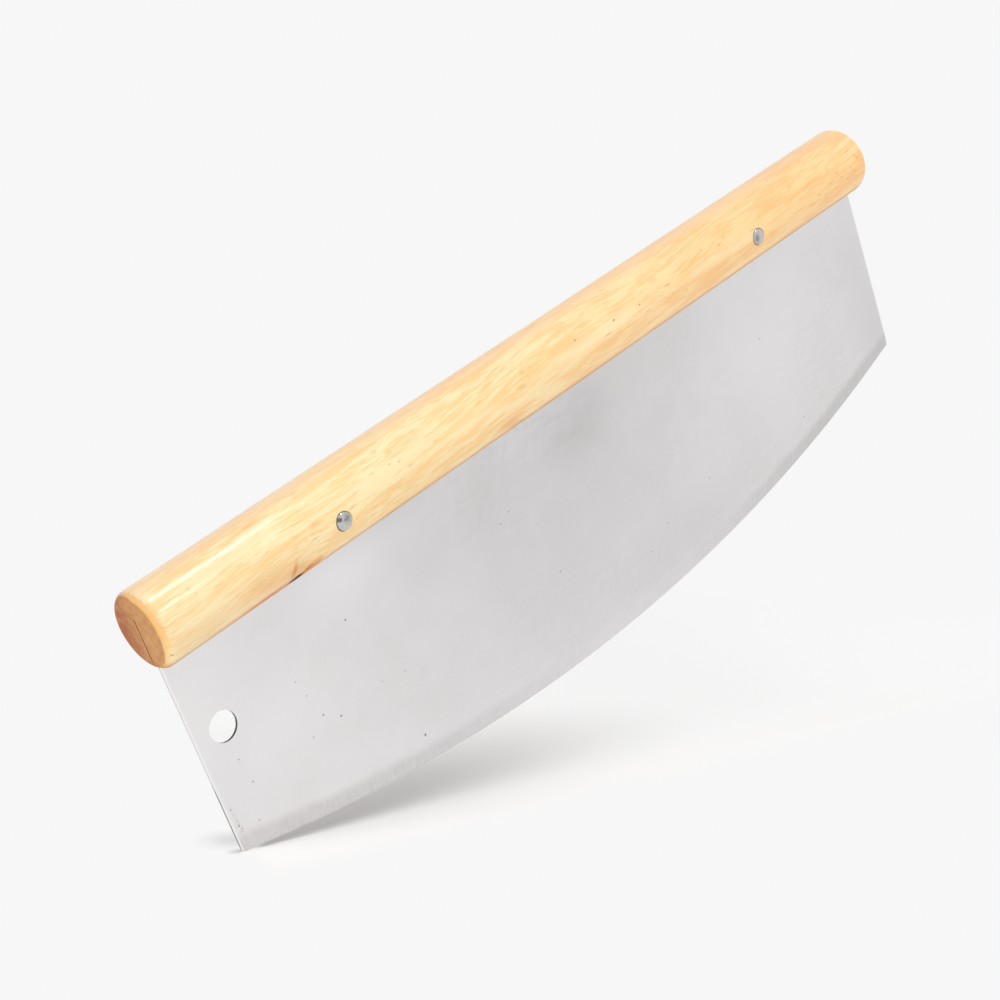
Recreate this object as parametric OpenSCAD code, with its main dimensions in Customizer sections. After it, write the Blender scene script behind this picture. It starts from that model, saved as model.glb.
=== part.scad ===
// Rocking pizza knife: a long steel blade with a curved cutting edge, held in a round wooden grip.
// X runs along the grip, Y through the thickness of the blade and Z upwards.
// Z = 0 is the lowest point of the cutting edge, and X = 0, Y = 0 is the middle of the knife.
// The hanging hole is at the -X end. The face seen in use from the front looks towards -Y.

/* [Grip] */
// Length of the wooden grip from end to end
grip_len = 355; // [320:1:400]
// Diameter of the grip
grip_d = 26.2; // [24:0.1:32]
// Radius worked round the rim of each end face
grip_rim_r = 2.8; // [0.5:0.1:5]
// Height of the grip's centre line above the lowest point of the edge
grip_z = 105.1; // [95:0.1:130]
// Height of the sawn slot's closed end above the grip's centre line
kerf_up = 4.7; // [4:0.1:7]
// Play on each side of the blade in the slot
kerf_play = 0.05; // [0.02:0.01:0.15]
// Width of the slot past the blade, where it shows as a thin line on the end faces
kerf_end_w = 0.5; // [0.2:0.05:0.8]

/* [Blade] */
// Thickness of the blade sheet
blade_t = 1; // [0.8:0.1:1.6]
// Distance from each end of the grip to the blade's side edge
blade_inset = 1; // [0:0.1:6]
// How far the two lower corners lie above the lowest point of the edge
edge_rise = 25.6; // [15:0.1:35]
// Radius on each lower corner
corner_r = 1.3; // [0.5:0.1:5]
// Width of the ground band along the cutting edge
grind_w = 6; // [2:0.1:8]
// Thickness left at the cutting edge
edge_t = 0.3; // [0.1:0.05:0.5]
// Width of the broken corner along each side edge
side_break_w = 0.7; // [0.3:0.1:1.5]
// Depth of the broken corner along each side edge
side_break_d = 0.15; // [0.05:0.05:0.3]

/* [Hanging hole] */
// Radius of the hanging hole
hang_hole_r = 5.1; // [3:0.1:7]
// Distance from the blade's side edge to the centre of the hanging hole
hang_hole_in = 11.1; // [10:0.1:30]
// Distance from the grip's centre line down to the centre of the hanging hole
hang_hole_down = 40.5; // [30:0.1:55]

/* [Rivets] */
// Distance of each rivet from the middle of the grip
rivet_x = 106.4; // [60:0.1:140]
// How far the rivets lie below the grip's centre line
rivet_down = 1.5; // [0.5:0.1:2.5]
// Diameter of each rivet head
head_d = 5.9; // [5.4:0.1:7]
// Thickness of each head at its rim
head_t = 1.6; // [1:0.1:2]
// Height of the dome on top of each head
head_dome = 0.15; // [0.05:0.05:0.4]
// Rounding on the rim of each head
head_rim_r = 0.5; // [0.2:0.05:0.8]
// How far the top of each head's rim stands out past the grip's round surface at its crown
head_proud = 0.2; // [0:0.05:0.4]
// Gap round each head in the seat that is sunk into the wood
seat_gap = 0.3; // [0.05:0.05:0.5]
// Outside diameter of the rivet sleeve
sleeve_d = 4; // [3.6:0.1:4.6]
// Diameter of the rivet stud's pin
pin_d = 2.6; // [2:0.1:2.9]
// Play round the sleeve in the wood and the steel
rivet_play = 0.05; // [0.02:0.01:0.1]
// Play round the pin in the sleeve
pin_play = 0.02; // [0.01:0.01:0.05]

/* [Hidden] */
// Overshoot of every cutting shape, so that no two faces fall together
over = 1;
grip_r = grip_d / 2;
// Blade: half its width, and the radius of the circle that its cutting edge lies on
half_w = grip_len / 2 - blade_inset;
edge_r = (half_w * half_w + edge_rise * edge_rise) / (2 * edge_rise);
// The top of the blade stops just short of the slot's closed end
blade_top = grip_z + kerf_up - kerf_play;
// Centre of the small circle that touches both the side edge and the cutting edge
corner_x = half_w - corner_r;
corner_z = edge_r - sqrt(pow(edge_r - corner_r, 2) - corner_x * corner_x);
// Point where that circle meets the cutting edge, pushed outwards by the overshoot
corner_ux = corner_x / (edge_r - corner_r);
corner_uz = (corner_z - edge_r) / (edge_r - corner_r);
corner_out_x = (edge_r + over) * corner_ux;
corner_out_z = edge_r + (edge_r + over) * corner_uz;
// Hanging hole, in the knife's own frame
hang_hole_x = -half_w + hang_hole_in;
hang_hole_z = grip_z - hang_hole_down;
// Rivets: height of their axis, and distance of the rim and the seat of a head from Y = 0
rivet_z = grip_z - rivet_down;
head_rim_y = grip_r + head_proud;
head_seat_y = head_rim_y - head_t;
// Radius of the ball that the dome on each head is cut from
dome_base_r = head_d / 2 - head_rim_r;
dome_ball_r = (dome_base_r * dome_base_r + head_dome * head_dome) / (2 * head_dome);
// Gap between the sleeve's mouth and the stud's head, and between the pin's tip and the sleeve's floor
sleeve_gap = 0.4;
pin_gap = 0.6;
// Wood left solid between the sleeve's blind bore and the underside of its head
sleeve_floor = 1.5;
// Facets on the grip, on the blade's long circle and on small rounds
grip_fn = 96;
edge_fn = 720;
small_fn = 48;

// Half outline of the grip: a rod's radius with a rounded rim at both ends
module grip_half_outline() {
  translate([0, -grip_len / 2 + grip_rim_r])
    square([grip_r, grip_len - 2 * grip_rim_r]);
  translate([0, -grip_len / 2])
    square([grip_r - grip_rim_r, grip_len]);
  for (end = [-1, 1])
    translate([grip_r - grip_rim_r, end * (grip_len / 2 - grip_rim_r)])
      circle(r = grip_rim_r, $fn = grip_fn);
}

// A straight round hole along Y through both sides of the grip
module rivet_bore(r) {
  rotate([90, 0, 0])
    cylinder(r = r, h = grip_d + 2 * over, center = true, $fn = small_fn);
}

// The two flat seats that the rivet heads rest on
module head_seats() {
  for (side = [-1, 1])
    translate([0, side * (head_seat_y + grip_r / 2), 0])
      rotate([90, 0, 0])
        cylinder(r = head_d / 2 + seat_gap, h = grip_r, center = true, $fn = small_fn);
}

// The sawn slot along the underside: as wide as the blade needs, and thinner past its ends
module blade_slot() {
  slot_low = grip_z - grip_r - over;
  slot_high = grip_r + over + kerf_up;
  translate([-half_w - kerf_play, -blade_t / 2 - kerf_play, slot_low])
    cube([2 * (half_w + kerf_play), blade_t + 2 * kerf_play, slot_high]);
  translate([-grip_len / 2 - over, -kerf_end_w / 2, slot_low])
    cube([grip_len + 2 * over, kerf_end_w, slot_high]);
}

// The wooden grip, with the slot for the blade and the two riveted places
module handle() {
  color([0.95, 0.76, 0.48])
    difference() {
      translate([0, 0, grip_z])
        rotate([0, 90, 0])
          rotate_extrude($fn = grip_fn)
            grip_half_outline();
      blade_slot();
      for (side = [-1, 1])
        translate([side * rivet_x, 0, rivet_z]) {
          rivet_bore(sleeve_d / 2 + rivet_play);
          head_seats();
        }
    }
}

// What one lower corner loses when it is rounded
module corner_waste() {
  difference() {
    polygon([
      [corner_x, corner_z],
      [half_w + over, corner_z],
      [half_w + over, edge_rise - over],
      [corner_out_x, corner_out_z]
    ]);
    translate([corner_x, corner_z])
      circle(r = corner_r, $fn = small_fn);
  }
}

// Flat outline of the blade: straight sides, a straight top and a circular cutting edge
module blade_outline() {
  difference() {
    intersection() {
      translate([0, edge_r])
        circle(r = edge_r, $fn = edge_fn);
      translate([-half_w, 0])
        square([2 * half_w, blade_top]);
    }
    corner_waste();
    mirror([1, 0])
      corner_waste();
  }
}

// A very large disc that thins towards its rim: the shape that both ground faces follow
module ground_disc() {
  translate([0, 0, edge_r])
    rotate([90, 0, 0])
      rotate_extrude($fn = edge_fn)
        polygon([
          [0, -blade_t / 2],
          [edge_r - grind_w, -blade_t / 2],
          [edge_r, -edge_t / 2],
          [edge_r, edge_t / 2],
          [edge_r - grind_w, blade_t / 2],
          [0, blade_t / 2]
        ]);
}

// Section of the sheet seen from above, with its sharp side corners broken on both faces
module sheet_section() {
  polygon([
    [-half_w, -blade_t / 2 + side_break_d],
    [-half_w + side_break_w, -blade_t / 2],
    [half_w - side_break_w, -blade_t / 2],
    [half_w, -blade_t / 2 + side_break_d],
    [half_w, blade_t / 2 - side_break_d],
    [half_w - side_break_w, blade_t / 2],
    [-half_w + side_break_w, blade_t / 2],
    [-half_w, blade_t / 2 - side_break_d]
  ]);
}

// The steel blade, from the ground edge up to the part hidden in the grip
module blade() {
  color([0.85, 0.85, 0.84])
    difference() {
      intersection() {
        rotate([90, 0, 0])
          linear_extrude(height = blade_t + 2 * over, center = true)
            blade_outline();
        translate([0, 0, -over])
          linear_extrude(height = blade_top + 2 * over)
            sheet_section();
        ground_disc();
      }
      translate([hang_hole_x, 0, hang_hole_z])
        rotate([90, 0, 0])
          cylinder(r = hang_hole_r, h = blade_t + 2 * over, center = true, $fn = small_fn);
      for (side = [-1, 1])
        translate([side * rivet_x, 0, rivet_z])
          rivet_bore(sleeve_d / 2 + rivet_play);
    }
}

// A rivet head standing on Z = 0, with a rounded rim and a low dome
module rivet_head() {
  rotate_extrude($fn = small_fn) {
    square([dome_base_r, head_t]);
    square([head_d / 2, head_t - head_rim_r]);
    translate([dome_base_r, head_t - head_rim_r])
      intersection() {
        circle(r = head_rim_r, $fn = small_fn);
        translate([0, -head_rim_r])
          square(2 * head_rim_r);
      }
  }
  intersection() {
    translate([0, 0, head_t + head_dome - dome_ball_r])
      sphere(r = dome_ball_r, $fn = grip_fn);
    translate([0, 0, head_t / 2])
      cylinder(r = dome_base_r, h = head_t, $fn = small_fn);
  }
}

// The stud half of a rivet: a head on the -Y face and a pin that reaches into the sleeve
module rivet_stud() {
  rotate([90, 0, 0]) {
    translate([0, 0, head_seat_y])
      rivet_head();
    translate([0, 0, -head_seat_y + sleeve_floor + pin_gap])
      cylinder(r = pin_d / 2, h = 2 * head_seat_y - sleeve_floor - pin_gap + head_t / 2, $fn = small_fn);
  }
}

// The sleeve half of a rivet: a head on the +Y face and a tube that the pin is pressed into
module rivet_sleeve() {
  rotate([-90, 0, 0])
    difference() {
      union() {
        translate([0, 0, head_seat_y])
          rivet_head();
        translate([0, 0, -head_seat_y + sleeve_gap])
          cylinder(r = sleeve_d / 2, h = 2 * head_seat_y - sleeve_gap + head_t / 2, $fn = small_fn);
      }
      translate([0, 0, -head_seat_y + sleeve_gap - over])
        cylinder(
          r = pin_d / 2 + pin_play,
          h = 2 * head_seat_y - sleeve_gap - sleeve_floor + over,
          $fn = small_fn
        );
    }
}

// Left rivet, on the hanging hole's side: the half with the pin
module rivet_stud_left() {
  color([0.9, 0.9, 0.9])
    translate([-rivet_x, 0, rivet_z])
      rivet_stud();
}

// Left rivet: the half with the tube
module rivet_sleeve_left() {
  color([0.86, 0.86, 0.87])
    translate([-rivet_x, 0, rivet_z])
      rivet_sleeve();
}

// Right rivet: the half with the pin
module rivet_stud_right() {
  color([0.9, 0.9, 0.9])
    translate([rivet_x, 0, rivet_z])
      rivet_stud();
}

// Right rivet: the half with the tube
module rivet_sleeve_right() {
  color([0.86, 0.86, 0.87])
    translate([rivet_x, 0, rivet_z])
      rivet_sleeve();
}

handle();
blade();
rivet_stud_left();
rivet_sleeve_left();
rivet_stud_right();
rivet_sleeve_right();
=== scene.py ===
"""Looks of a rocking pizza knife: a curved steel blade in a round wooden grip, on a pale studio floor.

The knife is upright in this frame: X along the grip, Y through the blade, Z up from the cutting edge.
All lengths are in metres unless a name or a docstring says otherwise.
"""

from __future__ import annotations

import logging
import math
from collections.abc import Callable, Iterator, Sequence
from contextlib import contextmanager
from dataclasses import dataclass
from enum import Enum

import bmesh
import bpy
from mathutils import Matrix, Vector

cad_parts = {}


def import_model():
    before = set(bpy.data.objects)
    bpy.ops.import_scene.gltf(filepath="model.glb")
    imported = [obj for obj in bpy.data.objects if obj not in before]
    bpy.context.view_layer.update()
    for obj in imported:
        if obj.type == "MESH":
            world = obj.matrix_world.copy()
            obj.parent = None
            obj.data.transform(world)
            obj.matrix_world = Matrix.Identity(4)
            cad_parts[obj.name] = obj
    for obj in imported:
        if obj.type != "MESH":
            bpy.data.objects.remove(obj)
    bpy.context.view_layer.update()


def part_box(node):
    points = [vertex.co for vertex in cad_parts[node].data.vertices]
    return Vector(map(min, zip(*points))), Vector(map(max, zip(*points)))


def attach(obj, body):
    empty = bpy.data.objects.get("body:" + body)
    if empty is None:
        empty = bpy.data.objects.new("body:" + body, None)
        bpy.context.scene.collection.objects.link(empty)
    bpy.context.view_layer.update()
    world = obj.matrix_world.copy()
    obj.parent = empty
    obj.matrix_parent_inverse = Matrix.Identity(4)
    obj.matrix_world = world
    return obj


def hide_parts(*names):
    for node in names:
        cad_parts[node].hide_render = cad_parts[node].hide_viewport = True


LOG = logging.getLogger("pizza_knife")
MM = 0.001
# Points nearer to each other than this are taken as one.
TOUCH = 1e-6

# A vector, a colour with its alpha, and what can go into a node.
Triple = tuple[float, float, float]
Tint = tuple[float, float, float, float]
Spot = Triple | Vector
Socket = bpy.types.NodeSocket
Value = Socket | float
Hue = Socket | Tint
Inputs = dict[int | str, Socket | float | Sequence[float]]


class Axis(Enum):
    """The axis that a round bar is laid along, as the turn that lays it there."""

    X = (0.0, math.pi / 2, 0.0)
    Y = (math.pi / 2, 0.0, 0.0)


class Domain(Enum):
    """What edit mode picks: the word that the select mode takes."""

    POINTS = "VERT"
    EDGES = "EDGE"
    FACES = "FACE"


class Side(Enum):
    """The two rivets, by the end of the grip that they are nearer to."""

    LEFT = -1
    RIGHT = 1


class RivetPart(Enum):
    """The two halves of a rivet, by the side of the knife that their head is on."""

    STUD = -1
    SLEEVE = 1


def srgb(red: int, green: int, blue: int) -> Tint:
    """Turn a colour as a picture shows it, 0 to 255, into the linear one that a shader takes.

    Args:
        red: Red, from 0 to 255.
        green: Green, from 0 to 255.
        blue: Blue, from 0 to 255.

    Returns:
        The linear colour with an alpha of 1.
    """
    linear = []
    for level in (red, green, blue):
        share = level / 255
        linear.append(share / 12.92 if share <= 0.04045 else ((share + 0.055) / 1.055) ** 2.4)
    return (*linear, 1.0)


class Bench:
    """The modelling bench: each call is one step with Blender's own tools."""

    @staticmethod
    def clear() -> None:
        """Leave edit mode and let go of everything."""
        if bpy.context.object is not None and bpy.context.object.mode != "OBJECT":
            bpy.ops.object.mode_set(mode="OBJECT")
        bpy.ops.object.select_all(action="DESELECT")

    @staticmethod
    def hold(piece: bpy.types.Object) -> None:
        """Select one piece alone and make it the active one.

        Args:
            piece: The piece to hold.
        """
        Bench.clear()
        piece.select_set(True)
        bpy.context.view_layer.objects.active = piece

    @staticmethod
    def settle(name: str) -> bpy.types.Object:
        """Name the new primitive and move its place and turn into its mesh.

        Args:
            name: The piece's name.

        Returns:
            The piece, with its object at the origin.
        """
        piece = bpy.context.object
        piece.name = name
        piece.data.name = name
        bpy.ops.object.transform_apply(location=True, rotation=True, scale=True)
        return piece

    @staticmethod
    def rod(
        name: str, radius: float, length: float, axis: Axis, place: Vector, sides: int
    ) -> bpy.types.Object:
        """Add a round bar.

        Args:
            name: The piece's name.
            radius: Radius of the bar.
            length: Length of the bar.
            axis: The axis that it lies along.
            place: Its middle.
            sides: How many sides stand for the circle.

        Returns:
            The bar.
        """
        Bench.clear()
        bpy.ops.mesh.primitive_cylinder_add(
            vertices=sides, radius=radius, depth=length, rotation=axis.value, location=place
        )
        return Bench.settle(name)

    @staticmethod
    def block(name: str, low: Vector, high: Vector) -> bpy.types.Object:
        """Add a rectangular block between two corners.

        Args:
            name: The piece's name.
            low: Its lowest corner.
            high: Its highest corner.

        Returns:
            The block.
        """
        Bench.clear()
        bpy.ops.mesh.primitive_cube_add(size=1, location=(low + high) / 2)
        bpy.context.object.scale = high - low
        return Bench.settle(name)

    @staticmethod
    def ring(
        name: str, radius: float, turn: Triple, place: Vector, sides: int, filled: bool = False
    ) -> bpy.types.Object:
        """Add a circle of edges, bare or filled with one face.

        Args:
            name: The piece's name.
            radius: Radius of the circle.
            turn: How it is turned from lying flat, as Euler angles in radians.
            place: Its middle.
            sides: How many edges stand for the circle.
            filled: Fills it with a face.

        Returns:
            The circle.
        """
        Bench.clear()
        fill = "NGON" if filled else "NOTHING"
        bpy.ops.mesh.primitive_circle_add(
            vertices=sides, radius=radius, fill_type=fill, rotation=turn, location=place
        )
        return Bench.settle(name)

    @staticmethod
    @contextmanager
    def editing(piece: bpy.types.Object) -> Iterator[None]:
        """Work on a piece in edit mode, with nothing picked at the start.

        Args:
            piece: The piece to work on.

        Yields:
            Nothing; the caller works inside.
        """
        Bench.hold(piece)
        bpy.ops.object.mode_set(mode="EDIT")
        bpy.ops.mesh.select_all(action="DESELECT")
        yield
        bpy.ops.object.mode_set(mode="OBJECT")

    @staticmethod
    def pick(piece: bpy.types.Object, domain: Domain, wanted: Callable[..., bool]) -> None:
        """Pick points, edges or faces by their place, in edit mode.

        Args:
            piece: The piece in edit mode.
            domain: What to pick.
            wanted: A test of a point's place, of an edge's two ends, or of a face's middle and normal.
        """
        bpy.ops.mesh.select_mode(type=domain.value)
        bpy.ops.mesh.select_all(action="DESELECT")
        mesh = bmesh.from_edit_mesh(piece.data)
        if domain is Domain.POINTS:
            picked = [point for point in mesh.verts if wanted(point.co)]
        elif domain is Domain.EDGES:
            picked = [edge for edge in mesh.edges if wanted(edge.verts[0].co, edge.verts[1].co)]
        else:
            picked = [face for face in mesh.faces if wanted(face.calc_center_median(), face.normal)]
        for element in picked:
            element.select_set(True)
        mesh.select_flush_mode()
        bmesh.update_edit_mesh(piece.data)

    @staticmethod
    def slice_at(place: Vector, normal: Vector, drop_beyond: bool = False) -> None:
        """Cut the whole piece by a plane, in edit mode.

        Args:
            place: A point on the plane.
            normal: The plane's normal.
            drop_beyond: Throws away what lies on the normal's side.
        """
        bpy.ops.mesh.select_all(action="SELECT")
        bpy.ops.mesh.bisect(plane_co=place, plane_no=normal, clear_outer=drop_beyond)

    @staticmethod
    def draw_out(shift: Vector) -> None:
        """Extrude what is picked and move it.

        Args:
            shift: How far the new part moves.
        """
        bpy.ops.mesh.extrude_region_move(TRANSFORM_OT_translate={"value": tuple(shift)})

    @staticmethod
    def carve(piece: bpy.types.Object, cutter: bpy.types.Object) -> None:
        """Cut one piece's shape out of another and throw the cutter away.

        Args:
            piece: The piece that is cut.
            cutter: The piece that cuts.
        """
        Bench.hold(piece)
        cut = piece.modifiers.new("cut", "BOOLEAN")
        cut.operation = "DIFFERENCE"
        cut.solver = "EXACT"
        cut.object = cutter
        bpy.ops.object.modifier_apply(modifier=cut.name)
        bpy.data.objects.remove(cutter)

    @staticmethod
    def complete(piece: bpy.types.Object, smooth_below: float, finish: bpy.types.Material) -> None:
        """Merge doubles, point all faces outwards, smooth the gentle edges and give the piece its finish.

        Args:
            piece: The piece to complete.
            smooth_below: Edges that turn by less than this, in degrees, are shaded smooth.
            finish: Its material.
        """
        with Bench.editing(piece):
            bpy.ops.mesh.select_all(action="SELECT")
            bpy.ops.mesh.remove_doubles(threshold=TOUCH)
            bpy.ops.mesh.normals_make_consistent(inside=False)
        bpy.ops.object.shade_smooth_by_angle(angle=math.radians(smooth_below))
        piece.data.materials.clear()
        piece.data.materials.append(finish)


class Tree:
    """A node tree in the making, of a material or of the room."""

    def __init__(self, tree: bpy.types.NodeTree) -> None:
        """Start with an empty tree.

        Args:
            tree: The tree, whose own nodes are thrown away.
        """
        self.tree = tree
        self.tree.nodes.clear()

    def add(self, kind: str, inputs: Inputs, **settings: str) -> bpy.types.Node:
        """Add a node.

        Args:
            kind: Its kind, such as Math.
            inputs: What goes into its inputs, by their names or numbers: an output or a value.
            **settings: Its choices, such as the operation.

        Returns:
            The node.
        """
        node = self.tree.nodes.new("ShaderNode" + kind)
        for name, choice in settings.items():
            setattr(node, name, choice)
        for key, value in inputs.items():
            if isinstance(value, Socket):
                self.tree.links.new(value, node.inputs[key])
            else:
                node.inputs[key].default_value = value
        return node

    def sum(self, operation: str, first: Value, second: Value = 0.0) -> Socket:
        """Add a Math node.

        Args:
            operation: Its operation, such as ABSOLUTE or SUBTRACT.
            first: The first value.
            second: The second value, where the operation has one.

        Returns:
            The result.
        """
        return self.add("Math", {0: first, 1: second}, operation=operation).outputs[0]

    def chain(self, operation: str, first: Value, *others: Value) -> Value:
        """Join values by one operation, from the first to the last.

        Args:
            operation: The operation, such as ADD.
            first: The first value.
            *others: The others, if any.

        Returns:
            The result.
        """
        for other in others:
            first = self.sum(operation, first, other)
        return first

    def times(self, *values: Value) -> Value:
        """Multiply values."""
        return self.chain("MULTIPLY", *values)

    def plus(self, *values: Value) -> Value:
        """Add values."""
        return self.chain("ADD", *values)

    def most(self, *values: Value) -> Value:
        """Give the greatest of some values."""
        return self.chain("MAXIMUM", *values)

    def rest(self, share: Value) -> Socket:
        """Give what a share leaves of 1."""
        return self.sum("SUBTRACT", 1.0, share)

    def ramp(
        self, value: Socket, low: float, high: float, to_low: float = 0.0, to_high: float = 1.0
    ) -> Socket:
        """Turn a range of a value into a smooth step.

        Args:
            value: The value.
            low: Where the step starts.
            high: Where the step ends.
            to_low: The result at the start.
            to_high: The result at the end.

        Returns:
            The step.
        """
        inputs = {"Value": value, "From Min": low, "From Max": high, "To Min": to_low, "To Max": to_high}
        return self.add("MapRange", inputs, interpolation_type="SMOOTHSTEP").outputs[0]

    def blend(self, share: Value, first: Hue, second: Hue) -> Socket:
        """Mix two colours.

        Args:
            share: How much of the second there is.
            first: The first colour.
            second: The second colour.

        Returns:
            The mixed colour.
        """
        return self.add("Mix", {0: share, 6: first, 7: second}, data_type="RGBA").outputs[2]

    def tint(self, colour: Hue, over: Hue, *shares: Value) -> Socket:
        """Lay a colour over another one.

        Args:
            colour: The colour so far.
            over: The colour that is laid over it.
            *shares: How much of it shows, as shares that are multiplied.

        Returns:
            The colour.
        """
        return self.blend(self.times(*shares), colour, over)

    def between(self, share: Value, first: Socket, second: Socket) -> Socket:
        """Mix two shaders.

        Args:
            share: How much of the second there is.
            first: The first shader.
            second: The second shader.

        Returns:
            The mixed shader.
        """
        return self.add("MixShader", {0: share, 1: first, 2: second}).outputs[0]


class Recipe(Tree):
    """Builds one procedural material on a piece's own coordinates."""

    def __init__(self, name: str) -> None:
        """Start an empty material.

        Args:
            name: The material's name.
        """
        self.material = bpy.data.materials.new(name)
        self.material.use_nodes = True
        super().__init__(self.material.node_tree)
        source = self.add("TexCoord", {})
        self.place = source.outputs["Object"]
        self.normal = source.outputs["Normal"]
        self.x, self.y, self.z = self.parts(self.place)

    def parts(self, vector: Socket) -> bpy.types.NodeOutputs:
        """Split a vector into its X, Y and Z."""
        return self.add("SeparateXYZ", {0: vector}).outputs

    def laid(self, place: Socket, centre: Spot, turn: Triple, reach: Triple) -> Socket:
        """Measure a place from a centre, along turned axes and in lengths of its own.

        Args:
            place: The place.
            centre: Where the measuring starts.
            turn: The turn of the axes, as Euler angles in radians.
            reach: The length that counts as 1 along each axis.

        Returns:
            The measured place.
        """
        inputs = {"Vector": place, "Location": centre, "Rotation": turn, "Scale": reach}
        return self.add("Mapping", inputs, vector_type="TEXTURE").outputs[0]

    def noise(
        self,
        cells: Triple,
        detail: float,
        roughness: float = 0.5,
        shift: Triple = (0, 0, 0),
        turn: Triple = (0, 0, 0),
        of: Socket | None = None,
    ) -> Socket:
        """Add soft noise.

        Args:
            cells: How many of its cells there are to a metre along X, Y and Z.
            detail: How many finer layers it has.
            roughness: How strong those layers are.
            shift: A shift of the noise, in cells.
            turn: A turn of the noise, in degrees.
            of: The place to read it at, if not the piece's own.

        Returns:
            The noise, about 0.5 on average.
        """
        reach = tuple(1 / count for count in cells)
        centre = tuple(-moved / count for moved, count in zip(shift, cells))
        angles = tuple(math.radians(angle) for angle in turn)
        place = self.laid(of or self.place, centre, angles, reach)
        inputs = {"Vector": place, "Scale": 1.0, "Detail": detail, "Roughness": roughness}
        return self.add("TexNoise", inputs).outputs[0]

    def swing(self, noise: Socket, size: float) -> Value:
        """Turn noise into a wander to both sides of 0, of a given size from end to end."""
        return self.times(self.sum("SUBTRACT", noise, 0.5), size)

    def spot(self, centre: Spot, reach: Triple, soft: float, turn: Triple = (0, 0, 0)) -> Socket:
        """Mark a soft ellipsoid round a point of the piece.

        Args:
            centre: The point.
            reach: How far the mark reaches along its own X, Y and Z.
            soft: The share of the reach over which it fades.
            turn: How the mark is turned, as Euler angles in radians.

        Returns:
            1 inside, 0 outside.
        """
        place = self.laid(self.place, centre, turn, reach)
        length = self.add("VectorMath", {0: place}, operation="LENGTH").outputs["Value"]
        return self.ramp(length, 1 - soft, 1.0, 1.0, 0.0)

    def pushed(self, place: Socket, share: Socket, shift: Triple) -> Socket:
        """Push a place along by a share of a shift.

        Args:
            place: The place.
            share: The share.
            shift: The whole shift.

        Returns:
            The moved place.
        """
        inputs = {0: share, 1: shift, 2: place}
        return self.add("VectorMath", inputs, operation="MULTIPLY_ADD").outputs[0]

    def span(self, first: Value, second: Value) -> Socket:
        """Give the length of two values at right angles."""
        return self.sum("SQRT", self.plus(self.times(first, first), self.times(second, second)))

    def bump(self, height: Socket, depth: float, strength: float) -> Socket:
        """Turn a height into a bump.

        Args:
            height: The height, from 0 to 1.
            depth: How deep a step of 1 is.
            strength: How much of it shows.

        Returns:
            The bumped normal.
        """
        inputs = {"Height": height, "Distance": depth, "Strength": strength}
        return self.add("Bump", inputs).outputs[0]

    def coat(self, shader: Socket) -> bpy.types.Material:
        """End the material with a shader.

        Args:
            shader: The shader.

        Returns:
            The material.
        """
        self.add("OutputMaterial", {"Surface": shader})
        return self.material

    def finish(self, **sockets: Value | Tint) -> bpy.types.Material:
        """End the material with one Principled shader.

        Args:
            **sockets: The shader's inputs, with an underscore for each space in their names.

        Returns:
            The material.
        """
        inputs = {name.replace("_", " "): value for name, value in sockets.items()}
        return self.coat(self.add("BsdfPrincipled", inputs).outputs[0])


class Tone(Enum):
    """The kinds of small mark in the wood, as how much of its colour they hide and how softly."""

    AMBER = (0.42, 0.95)
    BROWN = (0.60, 0.8)
    DARK = (0.85, 0.7)


@dataclass(frozen=True)
class WoodMark:
    """One mark on the grip's round surface, in millimetres and degrees.

    It is placed by its distance along the grip and its angle up from the front.
    """

    x: float
    angle: float
    half_length: float
    half_width: float
    slope: float = 0.0


# The small marks of each kind: x, angle, half length and half width.
MARKS = {
    Tone.AMBER: (
        (-133.5, 64, 4.5, 1.6), (-114.6, 68, 4.0, 1.2), (-116.4, 14.5, 3.5, 1.3), (-163.0, 37, 1.8, 1.0),
        (-90.0, 27, 2.4, 0.7), (-84.0, 51, 1.8, 1.2), (-80.0, 39, 2.4, 1.4), (-76.0, 7, 2.2, 0.8),
        (-63.5, 16, 2.2, 0.6), (-41.6, 26, 2.6, 0.7), (-23.0, 9.5, 3.6, 1.3), (-20.0, 27, 2.2, 1.0),
        (16.0, 50, 2.8, 1.2), (31.0, 66, 2.8, 1.0), (50.0, 33, 3.8, 1.6), (28.6, -50, 3.2, 0.8),
        (96.0, 36, 3.2, 0.8), (154.0, 20, 2.2, 1.5), (149.6, 34, 2.4, 0.9),
    ),
    Tone.BROWN: (
        (-82.6, 24.5, 0.9, 0.28), (-79.0, 20, 1.1, 0.28), (-121.6, 0.5, 1.3, 0.18), (20.4, 1.2, 3.0, 0.3),
        (54.8, 13, 2.6, 0.35), (77.0, 29, 0.9, 0.35), (86.0, 19.6, 2.0, 0.3), (89.4, 25.7, 1.5, 0.3),
        (132.0, 33, 2.0, 0.32), (168.8, 29.6, 3.6, 0.32), (158.0, 8.6, 1.8, 0.32), (145.0, -7, 2.0, 0.3),
        (153.0, 0, 3.0, 0.25), (104.0, 9, 2.0, 0.25), (0.2, 91, 5.0, 0.35), (-20.8, 97, 1.8, 0.4),
        (172.0, 11, 1.4, 0.3), (42.0, -4, 2.6, 0.25), (63.0, -12, 1.6, 0.25),
        (160.0, -3, 1.4, 0.28), (163.5, -11, 1.8, 0.28), (166.5, 3, 1.2, 0.26), (156.5, -15, 2.0, 0.28),
        (149.0, -13, 1.6, 0.25), (140.0, -15, 2.0, 0.25), (168.5, -6, 1.0, 0.26), (171.0, 17, 1.2, 0.3),
    ),
    Tone.DARK: (
        (6.2, 22.3, 0.55, 0.42), (25.4, 14.7, 0.9, 0.4), (-176.2, -31.4, 0.7, 0.45), (39.0, 12, 0.5, 0.36),
    ),
}


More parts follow.
